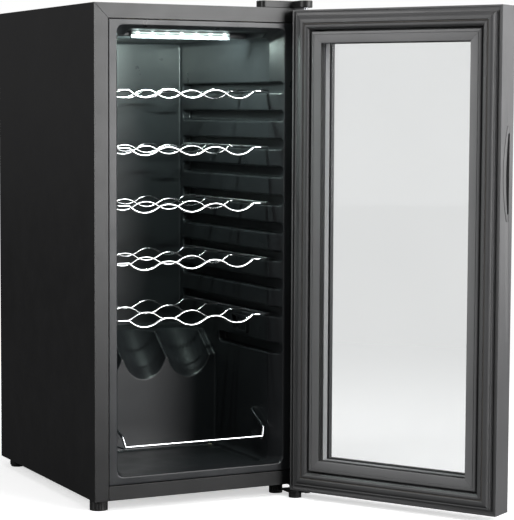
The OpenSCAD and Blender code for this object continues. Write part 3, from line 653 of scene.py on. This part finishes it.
def make_liner():
    """Formed plastic liner: a thick block is hollowed, remeshed and softened, and only its inside skin is kept."""
    x, low, high, r = MOUTH
    mouth_outline = rounded_outline(-x, low, x, high, r)
    inner_outline = rounded_outline(-WALL_X, low, WALL_X, CEILING, WALL_R)
    space = prism(mouth_outline, inner_outline, upright(-0.01), upright(FLARE), "mouth")
    combine(space, prism(mouth_outline, mouth_outline, upright(-20), upright(0), "ahead"), "UNION")
    combine(space, prism(inner_outline, inner_outline, upright(FLARE - 0.5), upright(INNER_D), "room"), "UNION")
    basin = rounded_outline(-BASIN_X, FLARE, BASIN_X, STEP_Y + 5, 14)
    combine(space, prism(basin, basin, flat(BASIN_Z), flat(low + 9), "basin"), "UNION")
    bay = rounded_outline(-BAY[0], 6, BAY[0], BAY[1], 3)
    combine(space, prism(bay, bay, flat(CEILING - 8), flat(BAY[2]), "bay"), "UNION")
    for side in (-1, 1):
        for i in range(9):
            combine(space, groove_solid(side, GROOVE_Z + i * GROOVE_STEP, 345), "UNION")
        combine(space, groove_solid(side, *LOW_GROOVE), "UNION")
    combine(space, step_solid(), "DIFFERENCE")

    x1, z0, z1 = LINER_HIGH[0], LINER_LOW[2], LINER_HIGH[2]
    rim = [(-x1, z0), (x1, z0), (x1, z1), (-x1, z1)]
    block = prism(rim, rim, upright(0), upright(INNER_D + 12), "liner_block")
    combine(block, space, "DIFFERENCE")

    remesh = block.modifiers.new("skin", "REMESH")
    remesh.mode = "VOXEL"
    remesh.voxel_size = VOXEL
    soften = block.modifiers.new("soften", "SMOOTH")
    soften.factor = 0.5
    soften.iterations = 4
    apply_modifiers(block)

    bm = bmesh.new()
    bm.from_mesh(block.data)
    outside = []
    for face in bm.faces:
        c = face.calc_center_median()
        if abs(c.x) > x1 - 0.3 or c.z < z0 + 0.3 or c.z > z1 - 0.3 or c.y > INNER_D + 8:
            outside.append(face)
    bmesh.ops.delete(bm, geom=outside, context="FACES")
    bmesh.ops.dissolve_limit(bm, angle_limit=math.radians(0.6), verts=bm.verts, edges=bm.edges)
    bm.transform(Matrix.Scale(mm(1), 4) @ Matrix.Translation((0, FRONT_Y, 0)))
    mesh = bpy.data.meshes.new("inner_liner_look")
    bm.to_mesh(mesh)
    bm.free()
    bpy.data.objects.remove(block)
    mesh.shade_smooth()
    piece = add_piece("inner_liner_look", mesh, "liner", "inner_liner")
    wall = piece.modifiers.new("wall", "SOLIDIFY")
    wall.thickness = mm(1.4)
    wall.offset = -1
    even = piece.modifiers.new("even", "WEIGHTED_NORMAL")
    even.keep_sharp = True
    return piece


# ---- wire goods ----

WAVE_H = 12
WAVE_YS = (38, 123, 208, 293)
RAIL_X, RAIL_R = 128, 2.5
RAIL_FRONT, RAIL_BACK = 36, 336
TAB_X = 104


def wave_points(z):
    """Points of one wavy shelf wire: equal arcs, then straight ends that rise to the tabs (mm)."""
    turn = 2 * math.atan(WAVE_H / PITCH * 2)
    radius = PITCH / 4 / math.sin(turn)
    points = []
    for trough in range(-1, 2):
        for k in range(-12, 13):
            a = turn * k / 12
            points.append((trough * PITCH + radius * math.sin(a), z + radius - WAVE_H - radius * math.cos(a)))
        if trough < 1:
            for k in range(-11, 12):
                a = turn * k / 12
                points.append(((trough + 0.5) * PITCH + radius * math.sin(a), z - radius + radius * math.cos(a)))
    rise = (TAB_X - 1.25 * PITCH) * math.tan(turn)
    return [(-TAB_X, z - WAVE_H / 2 + rise)] + points + [(TAB_X, z - WAVE_H / 2 + rise)]


def make_shelf(index):
    node = f"wire_shelf_{index}"
    z = GROOVE_Z + 2 * (index - 1) * GROOVE_STEP - GROOVE_TALL / 2 + RAIL_R + 0.3
    bm = bmesh.new()
    for row, y in enumerate(WAVE_YS):
        radius = 2.0 if row == 0 else 1.6
        path = [mm(1) * at_front((px, y, pz)) for px, pz in wave_points(z + 1)]
        tube_into(bm, path, mm(radius))
        for side in (-1, 1):
            tab = bmesh.ops.create_cube(bm, size=1.0)["verts"]
            middle = mm(1) * at_front((side * (TAB_X - 2 + RAIL_X) / 2, y, z + 0.1))
            size = Matrix.Diagonal((mm(RAIL_X - TAB_X + 2), mm(7), mm(2.1), 1))
            bmesh.ops.transform(bm, verts=tab, matrix=Matrix.Translation(middle) @ size)
            edges = list({e for v in tab for e in v.link_edges})
            bmesh.ops.bevel(bm, geom=edges, offset=mm(0.6), segments=2, affect="EDGES", profile=0.5)
    for side in (-1, 1):
        ends = (RAIL_FRONT, RAIL_FRONT + 1, RAIL_BACK - 1, RAIL_BACK)
        tube_into(bm, [mm(1) * at_front((side * RAIL_X, y, z)) for y in ends], mm(RAIL_R), 16)
    add_piece(f"{node}_look", mesh_from(bm, node), "chrome", node)


def make_guard():
    """Bottle guard: a front bar, and on each side two bent ends that hook into the wall."""
    bar_y, bar_z, rise_z, hook_y, high_z, low_z, side_x = 25, 86, 105, 77, 125, 87, 117
    reach = WALL_X + 1.5
    bm = bmesh.new()
    upper = [(-reach, hook_y, high_z), (-side_x, hook_y, high_z), (-side_x, bar_y, rise_z), (-side_x, bar_y, bar_z),
             (side_x, bar_y, bar_z), (side_x, bar_y, rise_z), (side_x, hook_y, high_z), (reach, hook_y, high_z)]
    tube_into(bm, rounded_path([at_front(p) for p in upper], 4), mm(2))
    for side in (-1, 1):
        lower = [(side * (side_x - 3), bar_y + 2.6, bar_z), (side * side_x, hook_y, low_z),
                 (side * reach, hook_y, low_z)]
        tube_into(bm, rounded_path([at_front(p) for p in lower], 4), mm(1.6))
    add_piece("bottle_guard_look", mesh_from(bm, "bottle_guard_look"), "chrome", "bottle_guard")


# ---- door ----

def make_gasket():
    """Bellows gasket: base, two soft ribs with a groove between them, and an outer lip."""
    base = DOOR_IN + 0.05
    rise = 4.4
    profile = [(8.8, base), (8.8, base + 1.6), (9.6, base + 2.2), (11.4, base + 2.0), (12.6, base + 3.4),
               (14.0, base + rise - 0.25), (16.5, base + rise - 0.05), (19.4, base + rise - 0.1),
               (20.6, base + rise - 0.9), (20.9, base + 2.4), (21.7, base + 2.3), (22.1, base + rise - 1.2),
               (23.0, base + rise - 0.4), (25.6, base + rise - 0.3), (27.3, base + rise - 1.1),
               (28.4, base + 1.8), (29.3, base + 0.9), (29.3, base)]
    add_piece("door_gasket_look", mitred_ring(profile, "door_gasket_look"), "gasket", "door_gasket")


def make_bead():
    """Glazing bead: a raised outer rim, a fine groove, then a flat face that turns in to the glass."""
    deep = DOOR_IN - 11.35
    profile = [(32.6, deep), (32.6, DOOR_IN - 1.2), (33.4, DOOR_IN - 0.3), (34.4, DOOR_IN - 0.05),
               (36.6, DOOR_IN - 0.05), (36.9, DOOR_IN - 0.9), (37.5, DOOR_IN - 0.9), (37.8, DOOR_IN - 0.2),
               (48.9, DOOR_IN - 0.05), (49.7, DOOR_IN - 0.4), (50.0, DOOR_IN - 1.2), (50.0, deep)]
    # The bead's inner return wall lies in shadow; it gets the black plastic so that this shade is painted on it.
    shaded_return_sides = (len(profile) - 3, len(profile) - 2)
    ring = mitred_ring(profile, "glazing_bead_look", painted_shade_sides=shaded_return_sides)
    add_piece("glazing_bead_look", ring, ["bead", "black_plastic"], "glazing_bead")


# ---- build ----

make_camera()
make_world()
make_lights()
make_floor()

for name, width in (("cabinet_wrap", 0.45), ("bottom_cross_rail", 0.4), ("back_panel", 0.2), ("top_hinge_cover", 1.6),
                    ("bottom_hinge_bracket", 0.5), ("hinge_foot", 0.6), ("front_foot_left", 0.6),
                    ("front_foot_right", 0.6), ("rear_feet", 0.8), ("door_frame", 1.0), ("handle_insert", 0.5),
                    ("door_stop", 0.8), ("relay_cover", 2.0), ("evaporation_tray", 0.9), ("control_box", 0.8),
                    ("control_box_lid", 1.0), ("wall_spacers", 1.2), ("light_housing", 0.4), ("sensor_cover", 0.4),
                    ("compressor_base", 0.7), ("light_lens", 0.5)):
    refined(name, width)
make_liner()
drawn_in("insulation_foam", 1.6)
make_guard()
make_gasket()
make_bead()
for shelf in range(1, SHELVES + 1):
    make_shelf(shelf)

scene = bpy.context.scene
scene.view_settings.view_transform = "Standard"
scene.view_settings.look = "None"
